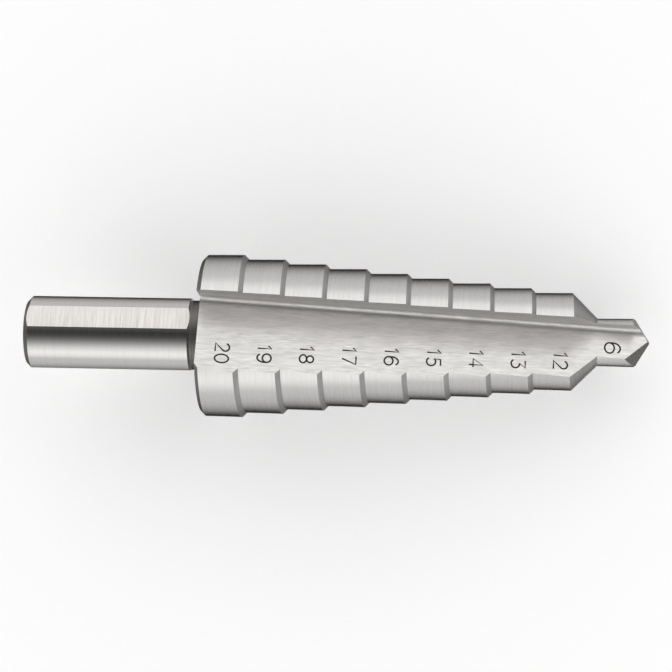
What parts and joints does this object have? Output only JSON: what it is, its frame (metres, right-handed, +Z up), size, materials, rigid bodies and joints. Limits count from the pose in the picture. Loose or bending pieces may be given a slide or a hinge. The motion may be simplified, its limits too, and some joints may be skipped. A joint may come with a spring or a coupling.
{
  "type": "step drill",
  "caption": "A conical stepped drill with two straight flutes, marked step sizes, a pilot with a split point, and a round shank with flats for a drill chuck. It bores round holes in sheet.",
  "frame": {"origin": "centre of the bounding box's base, on the plane that the drill lies on", "axes": "+X towards the point, along the floor; +Z up, with the marked flute on top; +Y to the left when looking towards the point"},
  "size_m": [0.076, 0.0198, 0.0178],
  "materials": {
    "ground_steel": "bright ground high speed steel with fine grinding lines"
  },
  "bodies": {
    "root": {"step_drill": "ground_steel"}
  },
  "joints": []
}
